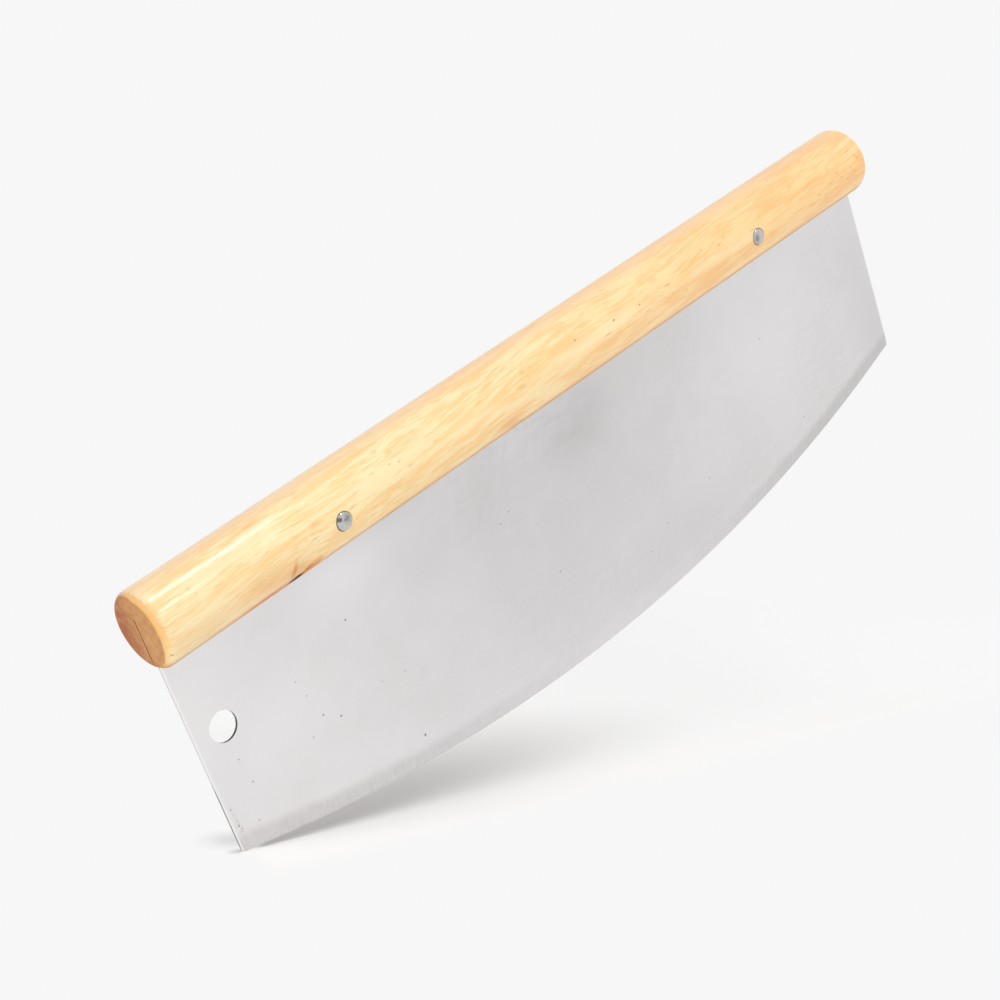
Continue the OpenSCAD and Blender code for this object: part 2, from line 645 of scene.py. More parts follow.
@dataclass(frozen=True)
class LacqueredWood:
    """Pale fine-grained hardwood under clear gloss lacquer, with darker end grain."""

    half_length: float
    height: float
    radius: float
    rivet_places: tuple[Vector, ...]
    cream: Tint = srgb(252, 231, 182)
    honey: Tint = srgb(249, 209, 145)
    cream_right: Tint = srgb(251, 213, 154)
    honey_right: Tint = srgb(247, 194, 130)
    amber: Tint = srgb(236, 174, 106)
    rose: Tint = srgb(252, 208, 164)
    rust: Tint = srgb(206, 132, 84)
    pale: Tint = srgb(255, 236, 190)
    ochre: Tint = srgb(196, 130, 50)
    pore: Tint = srgb(166, 112, 68)
    bark: Tint = srgb(56, 22, 14)
    scar: Tint = srgb(228, 130, 58)
    end_grain: Tint = srgb(226, 168, 108)
    end_rose: Tint = srgb(214, 150, 94)
    end_brown: Tint = srgb(178, 98, 46)
    rim: Tint = srgb(253, 196, 122)
    # Painted shade in the rivet seats and in the slot, and a lighter painted shade on the slot's walls.
    recess_shade: Tint = srgb(120, 78, 48)
    slot_shade: Tint = srgb(206, 158, 112)
    face_radius: float = 12.0 * MM
    # How far the painted shade round the rivets and in the slot reaches.
    seat_radius: float = 3.35 * MM
    slot_top: float = 5.0 * MM
    slot_reach: float = 0.60 * MM
    slot_end_reach: float = 0.30 * MM
    grain_rise: float = 2.5
    lacquer_roughness: float = 0.17

    def brew(self) -> bpy.types.Material:
        """Build the material.

        Returns:
            The material.
        """
        recipe = Recipe("lacquered_wood")
        bent = self.bent_place(recipe)
        colour = self.long_grain(recipe, bent)
        colour = self.marks(recipe, colour)
        colour = self.knots(recipe, colour, bent)
        colour = self.ends(recipe, colour)
        # Painted shade in the rivet seats and in the slot.
        colour = self.paint_recess_shade(recipe, colour)
        low = self.height - 0.92 * self.radius
        covered = recipe.ramp(recipe.z, low, low + 0.25 * self.radius)
        out = recipe.sum("ABSOLUTE", recipe.x)
        kept = recipe.ramp(out, self.half_length - 1.0 * MM, self.half_length - 0.5 * MM, 1.0, 0.3)
        cracked = self.patch(recipe, WoodMark(-123.5, -42, 12, 8), soft=0.8)
        lacquer = recipe.times(covered, kept, recipe.rest(cracked))
        fine = recipe.noise((60, 2200, 2200), detail=3, roughness=0.6, of=bent)
        ripple = recipe.noise((70, 900, 900), detail=2, shift=(5, 0, 0), of=bent)
        return recipe.finish(
            Base_Color=colour,
            Roughness=recipe.ramp(fine, 0.3, 0.7, 0.42, 0.56),
            Specular_IOR_Level=recipe.times(lacquer, 0.3),
            Normal=recipe.bump(fine, depth=0.02 * MM, strength=0.3),
            Coat_Weight=recipe.times(lacquer, 0.65),
            Coat_Roughness=recipe.ramp(recipe.x, -0.145, -0.085, self.lacquer_roughness, 0.4),
            Coat_IOR=1.5,
            Coat_Normal=recipe.bump(ripple, depth=0.08 * MM, strength=0.5),
        )

    def on_surface(self, x: float, angle: float) -> Vector:
        """Give the point of the grip's surface at a place along it and an angle up from the front.

        Args:
            x: The place along the grip, in millimetres.
            angle: The angle, in degrees.

        Returns:
            The point.
        """
        turn = math.radians(angle)
        return Vector((x * MM, -self.radius * math.cos(turn), self.height + self.radius * math.sin(turn)))

    def patch(self, recipe: Recipe, mark: WoodMark, soft: float) -> Socket:
        """Lay one mark flat on the surface.

        Args:
            recipe: The material in the making.
            mark: The mark.
            soft: The share of its size over which it fades.

        Returns:
            1 inside, 0 outside.
        """
        roll = Matrix.Rotation(-math.radians(mark.angle), 3, "X")
        slope = Matrix.Rotation(-math.radians(mark.slope), 3, "Y")
        turn = tuple((roll @ slope).to_euler("XYZ"))
        reach = (mark.half_length * MM, 4 * MM, mark.half_width * MM)
        return recipe.spot(self.on_surface(mark.x, mark.angle), reach, soft, turn)

    def bent_place(self, recipe: Recipe) -> Socket:
        """Bend the grain a little, and lift it over the two knots.

        Args:
            recipe: The material in the making.

        Returns:
            The bent place.
        """
        wander = recipe.noise((9, 22, 22), detail=1, shift=(3.1, 0, 0))
        place = recipe.pushed(recipe.place, wander, (0.0, 0.006, 0.008))
        for x, reach, lift in ((-128.0, 28.0, -6.0), (-31.0, 24.0, -4.0)):
            swell = recipe.spot(self.on_surface(x, -55), (reach * MM, 18 * MM, 15 * MM), soft=1.0)
            place = recipe.pushed(place, swell, (0.0, 0.0, lift * MM))
        return place

    def long_grain(self, recipe: Recipe, bent: Socket) -> Socket:
        """Colour the wood along its length, paler at the left and more golden at the right.

        Args:
            recipe: The material in the making.
            bent: The bent place.

        Returns:
            The colour.
        """
        rise = (0, -self.grain_rise, 0)
        broad = recipe.noise((24, 90, 100), detail=2, shift=(0.3, 0, 0), turn=rise, of=bent)
        middle = recipe.noise((55, 430, 430), detail=3, roughness=0.6, turn=rise, of=bent)
        lines = recipe.noise((130, 1700, 1700), detail=2, roughness=0.6, turn=rise, of=bent)
        tone = recipe.plus(recipe.times(broad, 0.28), recipe.times(middle, 0.46), recipe.times(lines, 0.26))
        to_right = recipe.ramp(recipe.x, -0.8 * self.half_length, 0.9 * self.half_length)
        light = recipe.blend(to_right, self.cream, self.cream_right)
        deep = recipe.blend(to_right, self.honey, self.honey_right)
        colour = recipe.blend(recipe.ramp(tone, 0.42, 0.57), deep, light)
        pores = recipe.noise((170, 1600, 1600), detail=1, shift=(1, 4, 2), turn=rise, of=bent)
        crowd = recipe.noise((26, 80, 80), detail=1, shift=(7, 7, 7))
        flecks = recipe.times(recipe.ramp(pores, 0.64, 0.73), recipe.ramp(crowd, 0.42, 0.6))
        colour = recipe.tint(colour, self.amber, flecks, 0.5)
        for x, angle, long, wide, hue, share in (
            (14, 7, 44, 4.2, self.pale, 0.75),
            (-148, 8, 12, 3.0, self.pale, 0.3),
            (-72, 38, 14, 3.6, self.amber, 0.35),
            (84, 2, 34, 3.2, self.pale, 0.55),
            (-46, 8, 26, 5.0, self.pale, 0.4),
            (-100, 25, 26, 4.0, self.pale, 0.2),
            (-150, 37, 24, 4.0, self.amber, 0.14),
            (120, 36, 70, 5.0, self.amber, 0.16),
            (-162, -24, 22, 6.0, self.amber, 0.3),
            (-30, 50, 20, 3.0, self.amber, 0.2),
        ):
            area = self.patch(recipe, WoodMark(x, angle, long, wide), soft=1.0)
            colour = recipe.tint(colour, hue, area, share)
        crown = recipe.ramp(recipe.z, self.height + 0.88 * self.radius, self.height + self.radius)
        colour = recipe.tint(colour, self.rose, crown, 0.5)
        hem_low = self.height - 0.87 * self.radius
        hem_high = self.height - 0.66 * self.radius
        return recipe.tint(colour, self.ochre, recipe.ramp(recipe.z, hem_low, hem_high, 0.75, 0.0))

    def marks(self, recipe: Recipe, colour: Socket) -> Socket:
        """Add the amber patches, the short brown pores and the few dark flecks.

        Args:
            recipe: The material in the making.
            colour: The colour so far.

        Returns:
            The colour.
        """
        hues = {Tone.AMBER: self.amber, Tone.BROWN: self.rust, Tone.DARK: self.pore}
        for tone, table in MARKS.items():
            strength, soft = tone.value
            shown: Value = 0.0
            for number, place_and_size in enumerate(table):
                mark = WoodMark(*place_and_size, 5.0 * math.sin(2.3 * number))
                shown = recipe.most(shown, self.patch(recipe, mark, soft))
            colour = recipe.tint(colour, hues[tone], shown, strength)
        return colour

    def knots(self, recipe: Recipe, colour: Socket, bent: Socket) -> Socket:
        """Add the knot with its bark at the left, low on the front, and the amber one in the middle.

        Args:
            recipe: The material in the making.
            colour: The colour so far.
            bent: The bent place.

        Returns:
            The colour.
        """
        for mark, hue, soft, strength in (
            (WoodMark(-138, -22, 20, 8), self.amber, 1.0, 0.6),
            (WoodMark(-31, -34, 11, 4.0), self.amber, 1.0, 0.75),
            (WoodMark(-27, -46, 5, 1.2), self.rust, 1.0, 0.6),
            (WoodMark(-139, -50, 13, 2.2, 3), self.rust, 0.9, 0.9),
            (WoodMark(-127, -38, 9, 6), self.rust, 1.0, 0.35),
            (WoodMark(-138.0, -58, 22, 4.2), self.scar, 1.0, 0.8),
            (WoodMark(-121.0, -46, 6.5, 3.4, 12), self.scar, 1.0, 0.85),
            (WoodMark(-128.2, -30, 5.0, 1.7, 72), self.scar, 1.0, 0.8),
            (WoodMark(-117.5, -46, 3.6, 2.4, 14), self.scar, 1.0, 0.6),
            (WoodMark(-85, -8.3, 4.5, 0.3), self.amber, 0.9, 0.2),
        ):
            colour = recipe.tint(colour, hue, self.patch(recipe, mark, soft), strength)
        torn_bark_and_lower_wall_shade = recipe.ramp(recipe.noise((700, 900, 900), detail=3, of=bent), 0.25, 0.5, 0.35, 1.0)
        for mark, strength in (
            (WoodMark(-127.0, -53, 4.6, 2.6, 8), 1.0),
            (WoodMark(-122.8, -45, 3.0, 0.9, 24), 0.4),
        ):
            colour = recipe.tint(colour, self.bark, self.patch(recipe, mark, soft=0.7), torn_bark_and_lower_wall_shade, strength)
        return colour

    def ends(self, recipe: Recipe, colour: Socket) -> Socket:
        """Colour the worked rims, more strongly towards the top as painted light, and the end grain.

        Args:
            recipe: The material in the making.
            colour: The colour so far.

        Returns:
            The colour.
        """
        out = recipe.sum("ABSOLUTE", recipe.x)
        rim = recipe.ramp(out, self.half_length - 1.9 * MM, self.half_length - 1.0 * MM)
        # The rims' orange is their own colour low down and grows towards the top as painted light.
        lit_low = self.height - 0.5 * self.radius
        lit_high = self.height + 0.3 * self.radius
        colour = recipe.tint(colour, self.rim, rim, recipe.ramp(recipe.z, lit_low, lit_high, 0.35, 0.9))
        rays = recipe.noise((50, 420, 420), detail=4, roughness=0.6, shift=(0, 3, 0))
        cut = recipe.blend(recipe.ramp(rays, 0.35, 0.65), self.end_grain, self.end_rose)
        behind = recipe.ramp(recipe.y, -3 * MM, 9 * MM)
        cut = recipe.tint(cut, self.end_brown, behind, recipe.ramp(rays, 0.3, 0.6, 0.5, 0.95))
        aside = recipe.plus(
            recipe.span(recipe.y, recipe.sum("SUBTRACT", recipe.z, self.height)),
            recipe.swing(recipe.noise((20, 130, 130), detail=1, shift=(2, 0, 0)), 1.6 * MM),
            recipe.times(recipe.y, -0.12),
        )
        flat = recipe.ramp(aside, self.face_radius - 0.4 * MM, self.face_radius + 0.4 * MM, 1.0, 0.0)
        near = recipe.ramp(out, self.half_length - 2.5 * MM, self.half_length - 1.9 * MM)
        return recipe.tint(colour, cut, flat, near)

    def paint_recess_shade(self, recipe: Recipe, colour: Socket) -> Socket:
        """Paint shade on the wood in and just round the seats of the rivet heads, and inside the slot.

        Args:
            recipe: The material in the making.
            colour: The colour so far.

        Returns:
            The colour.
        """
        out = recipe.sum("ABSOLUTE", recipe.x)
        ends_at = self.half_length - 1.3 * MM
        reach = recipe.ramp(out, ends_at, ends_at + 0.2 * MM, self.slot_reach, self.slot_end_reach)
        slot = recipe.sum("LESS_THAN", recipe.sum("ABSOLUTE", recipe.y), reach)
        top = self.height + self.slot_top
        low = recipe.ramp(recipe.z, top - 0.1 * MM, top, 1.0, 0.0)
        # Painted shade on the slot's walls, darker where the slot runs out through the end faces.
        slot_shade = recipe.blend(recipe.ramp(reach, 0.35 * MM, 0.55 * MM, 0.5, 1.0), self.recess_shade, self.slot_shade)
        colour = recipe.tint(colour, slot_shade, slot, low)
        # Painted shade in and just round the seats of the rivet heads.
        seat = (self.seat_radius, 40 * MM, self.seat_radius)
        seat_shade = recipe.most(*(recipe.spot(place, seat, soft=0.06) for place in self.rivet_places))
        return recipe.tint(colour, self.recess_shade, seat_shade)


@dataclass(frozen=True)
class SatinSteel:
    """Pale satin stainless sheet, with a darker band where the edge is ground.

    Each patch of painted reflection and shade is its x, z, half width and half height in millimetres, its
    colour and its strength.
    Each speck is its x, z and radius in millimetres.
    """

    edge_radius: float
    grind_width: float
    half_width: float
    hang_hole: Vector
    hang_hole_radius: float
    sheet: Tint = srgb(231, 228, 229)
    cloudy: Tint = srgb(225, 222, 222)
    ground: Tint = srgb(201, 200, 199)
    # A painted highlight on the broken side edges, painted shade on the sheet's walls, darker towards the
    # bottom, and darker still on the wall of the hanging hole.
    bright: Tint = srgb(243, 242, 242)
    wall_shade_upper: Tint = srgb(214, 213, 212)
    torn_bark_and_lower_wall_shade: Tint = srgb(126, 124, 123)
    hole_wall_shade: Tint = srgb(84, 80, 78)
    speck: Tint = srgb(70, 66, 62)
    roughness: float = 0.33
    # Between these heights the painted shade on the walls turns from its darker to its lighter tone.
    wall_darker_below: float = 46 * MM
    wall_lighter_above: float = 52 * MM
    # Patches of painted reflection, and painted shade under the grip.
    painted_reflection_and_shade: tuple = (
        (4, 80, 34, 22, srgb(208, 206, 206), 0.5),
        (2, 75, 22, 10, srgb(206, 203, 201), 0.4),
        (-46, 74, 26, 24, srgb(216, 214, 212), 0.5),
        (-28, 42, 95, 80, srgb(214, 211, 213), 0.4),
        (-146, 54, 38, 34, srgb(243, 240, 241), 0.45),
        (42, 12, 62, 24, srgb(214, 211, 213), 0.4),
        (178, 30, 26, 28, srgb(212, 210, 210), 0.5),
        (-78, 92, 46, 11, srgb(214, 212, 213), 0.4),
        (-70, 72, 18, 22, srgb(214, 212, 213), 0.3),
        (105, 62, 60, 55, srgb(240, 238, 238), 0.62),
        (-176, 76, 30, 36, srgb(240, 239, 238), 0.6),
        (-108, 84, 34, 16, srgb(240, 239, 240), 0.6),
        (172, 50, 24, 60, srgb(214, 213, 213), 0.5),
    )
    specks: tuple = (
        (-99.8, 17.6, 0.60), (-126.4, 42.7, 0.50), (-111.7, 69.5, 0.46), (-132.2, 46.9, 0.44),
        (-23.5, 35.3, 0.36), (-163.8, 43.2, 0.36), (-36.0, 66.2, 0.34), (-167.1, 31.1, 0.34),
        (105.0, 62.3, 0.36), (-165.2, 52.3, 0.32), (-138.5, 42.6, 0.32), (116.6, 23.0, 0.36),
        (58.1, 27.8, 0.32), (31.4, 23.4, 0.34), (-98.0, 41.6, 0.30), (19.7, 18.2, 0.30),
        (-135.1, 55.9, 0.28), (-40.9, 64.3, 0.28), (-136.8, 62.2, 0.26), (-107.5, 43.5, 0.28),
        (-174.5, 40.0, 0.34), (-174.1, 33.8, 0.34), (-173.4, 32.2, 0.26),
    )

    def brew(self) -> bpy.types.Material:
        """Build the material.

        Returns:
            The material.
        """
        recipe = Recipe("satin_steel")
        clouds = recipe.noise((26, 26, 26), detail=4, roughness=0.6, shift=(2, 0, 5))
        along = recipe.noise((60, 60, 900), detail=2, turn=(0, 4, 0))
        across = recipe.noise((90, 60, 900), detail=2, turn=(0, -52, 0))
        brushed = recipe.times(recipe.plus(along, across), 0.5)
        hatched = recipe.times(
            recipe.ramp(recipe.x, -0.13, 0.02, 0.1, 0.6),
            recipe.ramp(clouds, 0.4, 0.6),
            recipe.ramp(brushed, 0.4, 0.6, -1.0, 1.0),
        )
        shade = recipe.plus(recipe.ramp(clouds, 0.35, 0.65, 0.1, 0.9), hatched)
        colour = recipe.blend(shade, self.sheet, self.cloudy)
        # Lighter and darker patches of painted reflection, and painted shade under the grip.
        for x, z, wide, high, hue, strength in self.painted_reflection_and_shade:
            area = recipe.spot((x * MM, 0, z * MM), (wide * MM, 40 * MM, high * MM), soft=1.0)
            colour = recipe.tint(colour, hue, area, strength)
        band = self.ground_band(recipe)
        strokes = recipe.noise((1000, 100, 170), detail=3, roughness=0.7, turn=(0, 8, 0))
        shown = recipe.times(
            band,
            recipe.ramp(recipe.sum("ABSOLUTE", recipe.x), 10 * MM, 110 * MM, 0.12, 1.0),
            recipe.ramp(strokes, 0.3, 0.7, 0.46, 0.76),
            recipe.ramp(recipe.x, 0.04, 0.15, 1.0, 1.4),
        )
        colour = recipe.tint(colour, self.ground, shown)
        colour = self.edges(recipe, colour)
        colour = recipe.tint(colour, self.speck, self.marks(recipe))
        rubbed = recipe.ramp(brushed, 0.35, 0.65, self.roughness - 0.03, self.roughness + 0.04)
        return recipe.finish(
            Base_Color=colour,
            Metallic=1.0,
            Roughness=recipe.plus(rubbed, recipe.times(band, 0.06)),
            Normal=recipe.bump(brushed, depth=0.01 * MM, strength=0.08),
        )

    def ground_band(self, recipe: Recipe) -> Socket:
        """Mark the ground band along the cutting edge, with a soft, slightly wandering border.

        Args:
            recipe: The material in the making.

        Returns:
            1 on the band, 0 elsewhere.
        """
        wander = recipe.noise((60, 10, 10), detail=3, roughness=0.6)
        from_centre = recipe.sum("SUBTRACT", recipe.z, self.edge_radius)
        reach = recipe.plus(recipe.span(recipe.x, from_centre), recipe.swing(wander, 2.4 * MM))
        inner = self.edge_radius - self.grind_width + 0.6 * MM
        return recipe.ramp(reach, inner - 2 * MM, inner + 2 * MM)

    def edges(self, recipe: Recipe, colour: Socket) -> Socket:
        """Paint a highlight on the broken side edges, and shade on the sheet's walls, darker towards the
        bottom, and on the wall of the hanging hole.

        Args:
            recipe: The material in the making.
            colour: The colour so far.

        Returns:
            The colour.
        """
        out = recipe.sum("ABSOLUTE", recipe.x)
        # Painted highlight on the broken side edges.
        side = recipe.ramp(out, self.half_width - 0.8 * MM, self.half_width - 0.5 * MM)
        colour = recipe.tint(colour, self.bright, side, 0.8)
        # Painted shade on the walls, darker towards the bottom, and darker still on the wall of the hanging
        # hole.
        across = recipe.sum("ABSOLUTE", recipe.parts(recipe.normal)[1])
        wall = recipe.ramp(across, 0.3, 0.6, 1.0, 0.0)
        wall_rise = recipe.ramp(recipe.z, self.wall_darker_below, self.wall_lighter_above)
        sides = recipe.blend(wall_rise, self.torn_bark_and_lower_wall_shade, self.wall_shade_upper)
        colour = recipe.tint(colour, sides, wall)
        reach = self.hang_hole_radius + 0.3 * MM
        hole = recipe.spot(self.hang_hole, (reach, reach, reach), soft=0.02)
        return recipe.tint(colour, self.hole_wall_shade, hole, wall)

    def marks(self, recipe: Recipe) -> Value:
        """Mark the small dark specks on the front of the sheet and the smudge beside its left corner.

        Args:
            recipe: The material in the making.

        Returns:
            1 on a speck, less on the smudge, 0 elsewhere.
        """
        front = -0.5 * MM
        specks: Value = 0.0
        for x, z, size in self.specks:
            speck = recipe.spot((x * MM, front, z * MM), (size * MM, size * MM, size * MM), soft=0.7)
            specks = recipe.most(specks, speck)
        rubbed = recipe.noise((1400, 100, 900), detail=3)
        tilt = (0, -0.06, 0)
        smudge = recipe.spot((-174.0 * MM, front, 34 * MM), (1.1 * MM, 2 * MM, 7 * MM), soft=1.0, turn=tilt)
        return recipe.most(
            recipe.times(specks, 0.85),
            recipe.times(smudge, recipe.ramp(rubbed, 0.45, 0.6, 0.0, 0.3)),
        )


@dataclass(frozen=True)
class RivetMetal:
    """Bright pressed metal of the rivets, finely scuffed, with a few dark spots of painted reflection on the
    left head.

    Each spot of painted reflection is its x, z and radius in millimetres and its strength.
    """

    bright: Tint = srgb(200, 199, 198)
    dull: Tint = srgb(183, 182, 182)
    # The dark of the painted reflections on the left head.
    reflection_dark: Tint = srgb(96, 92, 94)
    roughness: float = 0.2
    dark_reflections: tuple = (
        (-107.9, 104.9, 1.1, 0.95),
        (-108.8, 105.2, 1.1, 0.8),
        (-106.2, 104.0, 0.65, 0.5),
        (-106.9, 106.6, 0.8, 0.3),
    )

    def brew(self) -> bpy.types.Material:
        """Build the material.

        Returns:
            The material.
        """
        recipe = Recipe("rivet_metal")
        scuffs = recipe.noise((900, 900, 1500), detail=4, roughness=0.65, turn=(0, 30, 0))
        colour = recipe.blend(recipe.ramp(scuffs, 0.4, 0.7), self.bright, self.dull)
        # Dark spots of painted reflection on the left head.
        for x, z, radius, strength in self.dark_reflections:
            reflection_spot = recipe.spot((x * MM, -13.5 * MM, z * MM), (radius * MM, 4 * MM, radius * MM), soft=0.8)
            colour = recipe.tint(colour, self.reflection_dark, reflection_spot, strength)
        return recipe.finish(
            Base_Color=colour,
            Metallic=1.0,
            Roughness=recipe.ramp(scuffs, 0.3, 0.7, self.roughness - 0.04, self.roughness + 0.05),
            Normal=recipe.bump(scuffs, depth=0.01 * MM, strength=0.15),
        )


@dataclass
class Grip:
    """The turned wooden grip, with its slot and the seats of the rivet heads."""

    radius: float
    half_length: float
    height: float
    slot_half_width: float
    slot_half_length: float
    slot_end_half_width: float
    slot_top: float
    rivet_places: tuple[Vector, ...]
    bore_radius: float
    seat_radius: float
    seat_depth_y: float
    rim_radius: float = 2.8 * MM
    sides: int = 160
    stations: int = 44
    hand_turned: float = 0.06 * MM
    hand_span: float = 35 * MM

    def build(self, wood: bpy.types.Material) -> list[bpy.types.Object]:
        """Turn, slot and drill the grip.

        Args:
            wood: Its finish.

        Returns:
            The grip alone.
        """
        middle = Vector((0, 0, self.height))
        grip = Bench.rod("wooden_grip", self.radius, 2 * self.half_length, Axis.X, middle, self.sides)
        self.round_rims(grip)
        self.cut_stations(grip)
        self.leave_hand_marks(grip)
        self.saw_slot(grip)
        self.drill(grip)
        Bench.complete(grip, smooth_below=32, finish=wood)
        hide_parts("handle")
        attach(grip, "root")
        return [grip]

    def round_rims(self, grip: bpy.types.Object) -> None:
        """Round the rim of both end faces.

        Args:
            grip: The bar.
        """

        def on_rim(first: Vector, second: Vector) -> bool:
            """Tell whether an edge lies in an end face."""
            return abs(first.x - second.x) < TOUCH

        with Bench.editing(grip):
            Bench.pick(grip, Domain.EDGES, on_rim)
            bpy.ops.mesh.bevel(offset=self.rim_radius, segments=8, profile=0.5, affect="EDGES")

    def cut_stations(self, grip: bpy.types.Object) -> None:
        """Cut rings round the bar, so that its surface can wander along its length.

        Args:
            grip: The bar.
        """
        reach = self.half_length - self.rim_radius
        with Bench.editing(grip):
            for step in range(1, self.stations):
                x = -reach + 2 * reach * step / self.stations
                Bench.slice_at(Vector((x, 0, 0)), Vector((1, 0, 0)))

    def leave_hand_marks(self, grip: bpy.types.Object) -> None:
        """Let the sanded surface sink here and there by a few hundredths of a millimetre.

        Args:
            grip: The bar.
        """
        texture = bpy.data.textures.new("sanding", "CLOUDS")
        texture.noise_scale = self.hand_span
        wear = grip.modifiers.new("sanding", "DISPLACE")
        wear.texture = texture
        wear.texture_coords = "LOCAL"
        wear.mid_level = 1.0
        wear.strength = self.hand_turned
        Bench.hold(grip)
        bpy.ops.object.modifier_apply(modifier=wear.name)

    def saw_slot(self, grip: bpy.types.Object) -> None:
        """Saw the slot for the blade, which runs out thinner through both end faces.

        Args:
            grip: The bar.
        """
        below = self.height - self.radius - 2 * MM
        for half_length, half_width in (
            (self.slot_half_length, self.slot_half_width),
            (self.half_length + 2 * MM, self.slot_end_half_width),
        ):
            low = Vector((-half_length, -half_width, below))
            high = Vector((half_length, half_width, self.slot_top))
            Bench.carve(grip, Bench.block("slot_cutter", low, high))

    def drill(self, grip: bpy.types.Object) -> None:
        """Drill the rivet holes and sink the seats of their heads.

        Args:
            grip: The bar.
        """
        for place in self.rivet_places:
            bore = Bench.rod("bore_cutter", self.bore_radius, 3 * self.radius, Axis.Y, place, sides=48)
            Bench.carve(grip, bore)
            for side in (-1, 1):
                middle = place + Vector((0, side * (self.seat_depth_y + self.radius / 2), 0))
                seat = Bench.rod("seat_cutter", self.seat_radius, self.radius, Axis.Y, middle, sides=64)
                Bench.carve(grip, seat)


@dataclass
class Blade:
    """The steel sheet with its ground, curved edge and its holes."""

    half_width: float
    top: float
    edge_radius: float
    hang_hole: Vector
    hang_hole_radius: float
    rivet_places: tuple[Vector, ...]
    rivet_hole_radius: float
    thickness: float = 1.0 * MM
    edge_thickness: float = 0.3 * MM
    grind_width: float = 6.0 * MM
    grind_blend: float = 1.2 * MM
    corner_radius: float = 1.3 * MM
    side_break: float = 0.7 * MM
    side_break_depth: float = 0.15 * MM
    circle_sides: int = 1800

    def build(self, steel: bpy.types.Material) -> list[bpy.types.Object]:
        """Cut, grind and drill the blade.

        Args:
            steel: Its finish.

        Returns:
            The blade alone.
        """
        blade = self.flat_sheet()
        self.round_corners(blade)
        self.give_thickness(blade)
        self.drill(blade)
        Bench.complete(blade, smooth_below=4, finish=steel)
        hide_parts("blade")
        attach(blade, "root")
        return [blade]

    def rings(self) -> tuple[float, ...]:
        """Give the radii of the lines that run along the edge, from the edge inwards."""
        inner = self.edge_radius - self.grind_width
        return (self.edge_radius, inner + self.grind_blend, inner, inner - self.grind_blend)

    def flat_sheet(self) -> bpy.types.Object:
        """Draw the blade's outline as a flat sheet with lines along the edge and the sides.

        Returns:
            The sheet.
        """
        centre = Vector((0, 0, self.edge_radius))
        sheet = Bench.ring("steel_blade", self.edge_radius, Axis.Y.value, centre, self.circle_sides)
        keep_out = self.half_width + 8 * MM
        rings = self.rings()
        with Bench.editing(sheet):
            Bench.pick(sheet, Domain.POINTS, lambda co: abs(co.x) > keep_out or co.z > self.edge_radius)
            bpy.ops.mesh.delete(type="VERT")
            bpy.ops.mesh.select_mode(type=Domain.EDGES.value)
            bpy.ops.mesh.select_all(action="SELECT")
            for outer, inner in zip(rings, rings[1:]):
                Bench.draw_out(Vector((0, 0, 0)))
                shrink = inner / outer
                bpy.ops.transform.resize(value=(shrink, 1, shrink), center_override=centre)
            Bench.draw_out(Vector((0, 0, 0)))
            bpy.ops.transform.resize(value=(1, 1, 0), center_override=Vector((0, 0, self.top)))
            for side in (-1, 1):
                outside = Vector((side, 0, 0))
                Bench.slice_at(outside * self.half_width, outside, drop_beyond=True)
                Bench.slice_at(outside * (self.half_width - self.side_break), outside)
        return sheet

    def round_corners(self, sheet: bpy.types.Object) -> None:
        """Round the two lower corners.

        Args:
            sheet: The flat sheet.
        """

        def at_corner(place: Vector) -> bool:
            """Tell whether a point is where a side meets the edge."""
            reach = math.hypot(place.x, place.z - self.edge_radius)
            return abs(place.x) > self.half_width - 10 * TOUCH and reach > self.edge_radius - 10 * TOUCH

        with Bench.editing(sheet):
            Bench.pick(sheet, Domain.POINTS, at_corner)
            bpy.ops.mesh.bevel(offset=0.7 * self.corner_radius, segments=5, affect="VERTICES")

    def give_thickness(self, sheet: bpy.types.Object) -> None:
        """Make the sheet solid: thin at the ground edge and a little thinner at the sides.

        Args:
            sheet: The flat sheet.
        """
        share = sheet.vertex_groups.new(name="thickness")
        for point in sheet.data.vertices:
            reach = math.hypot(point.co.x, point.co.z - self.edge_radius)
            ground = self.ground_share(self.edge_radius - reach)
            beside = max(0.0, 1 - (self.half_width - abs(point.co.x)) / self.side_break)
            side = 1 - 2 * self.side_break_depth / self.thickness * beside
            share.add([point.index], min(ground, side), "REPLACE")
        solid = sheet.modifiers.new("thickness", "SOLIDIFY")
        solid.thickness = self.thickness
        solid.offset = 0.0
        solid.vertex_group = share.name
        Bench.hold(sheet)
        bpy.ops.object.modifier_apply(modifier=solid.name)
        sheet.vertex_groups.clear()

    def ground_share(self, inside: float) -> float:
        """Give the share of the full thickness that grinding leaves.

        Args:
            inside: Distance from the cutting edge.

        Returns:
            The share, with the start of the grind rounded off.
        """
        thin = self.edge_thickness / self.thickness
        slope = (1 - thin) / self.grind_width
        if inside >= self.grind_width + self.grind_blend:
            return 1.0
        straight = thin + slope * max(0.0, inside)
        if inside <= self.grind_width - self.grind_blend:
            return straight
        return straight - slope * self.grind_blend / 4

    def drill(self, blade: bpy.types.Object) -> None:
        """Cut the hanging hole and the two rivet holes.

        Args:
            blade: The solid blade.
        """
        for place, radius, sides in (
            (self.hang_hole, self.hang_hole_radius, 96),
            (self.rivet_places[0], self.rivet_hole_radius, 48),
            (self.rivet_places[1], self.rivet_hole_radius, 48),
        ):
            Bench.carve(blade, Bench.rod("hole_cutter", radius, 10 * MM, Axis.Y, place, sides))


